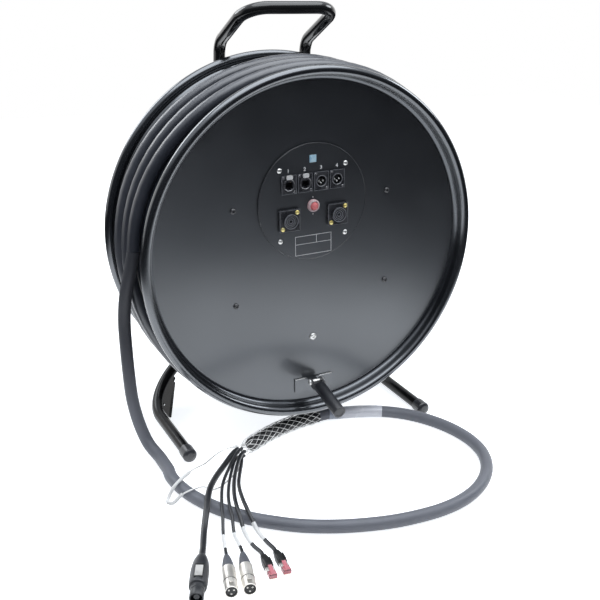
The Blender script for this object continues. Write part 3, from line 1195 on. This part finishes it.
for k in (1, 2, 3, 4):
    across = (k - 2.5) * SOCKET_PITCH
    plate_lip("socket_lip_%d" % k, SOCKET_WIDTH, SOCKET_HEIGHT, SOCKET_RISE, across, SOCKET_TOP, SOCKET_LIP,
              TAB_GAP if k in DATA_SOCKETS else 0.0)
    fixings = bmesh.new()
    for side in (-1, 1):
        spot = Matrix.Translation((across + side * 0.0095, SOCKET_RISE - side * 0.0120, SOCKET_TOP))
        turn_into(fixings, [(0.0, 0.0003), (0.0007, 0.0004), (0.0009, 0.0010), (0.0016, 0.0009),
                            (0.0021, 0.0003), (0.0021, -0.0002), (0.0, -0.0002)], 16, 0, spot)
    on_drum(placed("socket_screws_%d" % k, fixings, ring_grey, to_face))
for k in DATA_SOCKETS:
    across = (k - 2.5) * SOCKET_PITCH
    trim = bmesh.new()
    spot = Matrix.Translation((across, SOCKET_RISE, SOCKET_TOP))
    turn_into(trim, [(0.0086, 0.0009), (0.0086, 0.0014), (0.0090, 0.0017), (0.0096, 0.0016), (0.0099, 0.0011),
                     (0.0099, 0.0009)], 48, 0, spot)
    for lead in range(8):
        box_into(trim, 0.0005, 0.0003, -0.0110, -0.0006, centre=((lead - 3.5) * 0.00105, 0.00385), slot=1,
                 place=spot)
    on_drum(placed("data_socket_trim_%d" % k, trim, (ring_grey, brass), to_face))

# The signal sockets
# Two three-pin sockets on the same plates, each with silver pins standing in a black round recess.
for k in (1, 2):
    across = (k - 0.5) * SOCKET_PITCH
    trim = bmesh.new()
    spot = Matrix.Translation((across, SOCKET_RISE, SOCKET_TOP))
    turn_into(trim, [(0.0081, -0.0001), (0.0081, 0.0006), (0.0085, 0.0010), (0.0091, 0.0008),
                     (0.0093, -0.0001)],
              48, 0, spot)
    for angle in (180, 0, 270):
        pin = spot @ on_circle(CONTACT_CIRCLE, angle)
        turn_into(trim, [(0.0, -0.0010), (0.0010, -0.0012), (0.0015, -0.0018), (0.00155, -0.0115),
                         (0.0, -0.0115)], 16, 1, pin)
    on_drum(placed("signal_socket_trim_%d" % k, trim, (plate_rim, bright_zinc), to_face))

# The power outlets
# Two locking outlets on square black plates with ringed noses, each held by two yellow-passivated screws.
POWER_X = 0.0426
POWER_RISE = 0.0517
POWER_TOP = PLATE_FACE + 0.0045
NOSE_TOP = PLATE_FACE + 0.010
OUTLET_PLATE = 0.0352
OUTLET_LIP = 0.0008
OUTLET_SCREW = 0.0125
nose_ring = grained("nose_ring", (0.24, 0.25, 0.28), (0.32, 0.33, 0.36), 0.34, 0.08, 90.0, 900.0, 0.1, 0.0001)
yellow_zinc = grained("yellow_zinc", (0.97, 0.78, 0.24), (0.99, 0.88, 0.42), 0.36, 0.1, 90.0, 900.0, 0.08,
                      0.0001, metallic=0.55)
for side, name in ((-1, "left"), (1, "right")):
    across = side * POWER_X
    plate_lip("power_lip_" + name, OUTLET_PLATE, OUTLET_PLATE, POWER_RISE, across, POWER_TOP, OUTLET_LIP)
    for number, corner in enumerate((-1, 1), start=1):
        screw = bmesh.new()
        spot = Matrix.Translation((across + corner * OUTLET_SCREW, POWER_RISE + corner * OUTLET_SCREW,
                                   POWER_TOP))
        turn_into(screw, [(0.0, 0.0018), (0.0008, 0.0018), (0.0010, 0.0022), (0.0024, 0.0020),
                          (0.0035, 0.0010), (0.0036, 0.0), (0.0, 0.0)], 20, 0, spot)
        on_drum(placed("power_screw_%s_%d" % (name, number), screw, yellow_zinc, to_face))
    rings = bmesh.new()
    spot = Matrix.Translation((across, POWER_RISE, 0))
    gap_height = NOSE_TOP - 0.0020
    turn_into(rings, [(0.0114, gap_height), (0.0114, gap_height - 0.0004), (0.0034, gap_height - 0.0004),
                      (0.0034, gap_height)], 48, 1, spot)
    for radius, height in ((0.0116, NOSE_TOP - 0.0001), (0.0090, NOSE_TOP - 0.0021),
                           (0.0064, NOSE_TOP - 0.0021), (0.0030, NOSE_TOP - 0.0021)):
        turn_into(rings, [(radius - 0.0006, height), (radius - 0.0004, height + 0.0005),
                          (radius + 0.0002, height + 0.0005), (radius + 0.0004, height)], 48, 0, spot)
    on_drum(placed("power_nose_rings_" + name, rings, (nose_ring, plug_black), to_face))

# The breaker
# A reset breaker under the sockets: a pale clear boot round a red button that presses in.
BREAKER_RISE = 0.0705
clear_boot = grained("clear_boot", (0.93, 0.62, 0.64), (0.96, 0.78, 0.79), 0.22, 0.08, 120.0, 800.0, 0.08,
                     0.0002)
set_shader(clear_boot, {"Transmission Weight": 0.25})
boot = bmesh.new()
turn_into(boot, [(0.0067, 0.0001), (0.0067, 0.0050), (0.0071, 0.0056), (0.0080, 0.0055), (0.0092, 0.0047),
                 (0.0099, 0.0034), (0.01025, 0.0018), (0.01025, 0.0001)], 48, 0,
          Matrix.Translation((0, BREAKER_RISE, PLATE_FACE)))
on_drum(placed("breaker_boot", boot, clear_boot, to_face))

# The crank
# A folding crank on the front flange: a coated bracket with its upper edge worn bright, a black fork, a
# plated bolt, spacer and nut, and a black moulded grip that spins on the fork's rod.
PIVOT_RISE = -0.2311
CRANK_PIVOT = Vector((-0.0032, PIVOT_RISE, DISC_FACE + 0.0174))
BRACKET_TOP = PIVOT_RISE + 0.0016
CRANK_DROOP = math.radians(12.4)
WORN_SPANS = ((-0.0344, -0.0135), (0.0102, 0.0344))
edge_worn = grained("bright_edge", (0.62, 0.62, 0.61), (0.78, 0.78, 0.77), 0.30, 0.2, 120.0, 900.0, 0.2,
                    0.0002, metallic=0.9)
edge = bmesh.new()
for low, high in WORN_SPANS:
    box_into(edge, high - low, 0.0007, SEAT + 0.0002, SEAT + 0.0026,
             centre=((low + high) / 2, BRACKET_TOP + 0.0001), edge=0.0002)
on_drum(placed("bracket_worn_edge", edge, edge_worn, to_face))
spacer = bmesh.new()
to_pivot = to_face @ Matrix.Translation(CRANK_PIVOT) @ Matrix.Rotation(math.radians(90), 4, "Y")
turn_into(spacer, [(0.0043, 0.00695), (0.0044, 0.0066), (0.0044, -0.0066), (0.0043, -0.00695),
                   (0.0033, -0.00695), (0.0033, 0.00695)], 32)
spacer = placed("crank_spacer_sleeve", spacer, bright_zinc, to_pivot)
on_drum(spacer)
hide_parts("crank_spacer")
HEAD_SEAT = 0.0103 + 0.0003
bolt = bmesh.new()
turn_into(bolt, [(0.0, -HEAD_SEAT - 0.0036), (0.0024, -HEAD_SEAT - 0.0034), (0.0043, -HEAD_SEAT - 0.0024),
                 (0.0053, -HEAD_SEAT - 0.0009), (0.0053, -HEAD_SEAT), (0.0029, -HEAD_SEAT),
                 (0.0029, HEAD_SEAT + 0.0036), (0.0, HEAD_SEAT + 0.0036)], 32)
turn_into(bolt, [(0.0030, HEAD_SEAT + 0.0001), (0.0052, HEAD_SEAT + 0.0001), (0.0054, HEAD_SEAT + 0.0006),
                 (0.0054, HEAD_SEAT + 0.0024), (0.0050, HEAD_SEAT + 0.0029), (0.0030, HEAD_SEAT + 0.0029)], 6)
bolt = placed("crank_bolt_and_nut", bolt, bright_zinc, to_pivot)
on_drum(bolt)
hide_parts("crank_pivot_bolt")
GRIP_RADIUS = 0.01025
GRIP_START = 0.0150
GRIP_END = 0.0886
to_arm = to_face @ Matrix.Translation(CRANK_PIVOT) @ Matrix.Rotation(CRANK_DROOP, 4, "X")
grip_plastic = grained("grip_moulding", (0.018, 0.019, 0.024), (0.027, 0.029, 0.035), 0.36, 0.08, 40.0,
                       1600.0, 0.25, 0.0002, specular=0.7)
grip = bmesh.new()
turn_into(grip, [(0.0, GRIP_END - 0.0006), (0.0062, GRIP_END - 0.0006), (0.0066, GRIP_END),
                 (0.0092, GRIP_END), (0.0099, GRIP_END - 0.0004), (GRIP_RADIUS, GRIP_END - 0.0012),
                 (GRIP_RADIUS, GRIP_START + 0.001), (GRIP_RADIUS - 0.0003, GRIP_START + 0.0003),
                 (GRIP_RADIUS - 0.001, GRIP_START), (0.0043, GRIP_START), (0.0043, GRIP_END - 0.0077),
                 (0.0, GRIP_END - 0.0077)], 48)
grip = placed("crank_grip_turned", grip, grip_plastic, to_arm)
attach(grip, "grip")
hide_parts("crank_grip")

# Small joined pieces
# The pieces whose solids already have their real shape keep it and only take their finish: the barrel, hub,
# bushes, axle, stand plates, caps, sockets, buttons, latches and clips.
bush_cream = grained("bush_plastic", (0.50, 0.48, 0.43), (0.58, 0.56, 0.50), 0.48, 0.1, 60.0, 900.0, 0.1,
                     0.0002)
button_red = grained("button_red", (0.92, 0.20, 0.21), (0.95, 0.28, 0.29), 0.24, 0.06, 90.0, 900.0, 0.06,
                     0.0001)
latch_silver = grained("latch_silver", (0.70, 0.69, 0.66), (0.84, 0.83, 0.80), 0.42, 0.08, 60.0, 900.0, 0.2,
                       0.0002, metallic=0.5)
slot_finish = {
    "textured_coat": coat, "gloss_coat": gloss, "cable_jacket": jacket, "moulded": socket_plastic,
    "dark_steel": black_steel, "zinc": bright_zinc, "nickel": satin_nickel, "latch_plastic": latch_silver,
    "bush_plastic": bush_cream, "button": button_red, "clear_clip": clear_red}
slot_of = {row["node"]: row["material_slot"] for row in frame["record"]["subparts"]}
tab_bright = grained("tab_bright", (0.92, 0.92, 0.91), (0.96, 0.96, 0.95), 0.34, 0.08, 90.0, 900.0, 0.1,
                     0.0001, metallic=0.25)
for name, node in nodes.items():
    node.data.materials.clear()
    node.data.materials.append(tab_bright if name.startswith("socket_tab") else slot_finish[slot_of[name]])
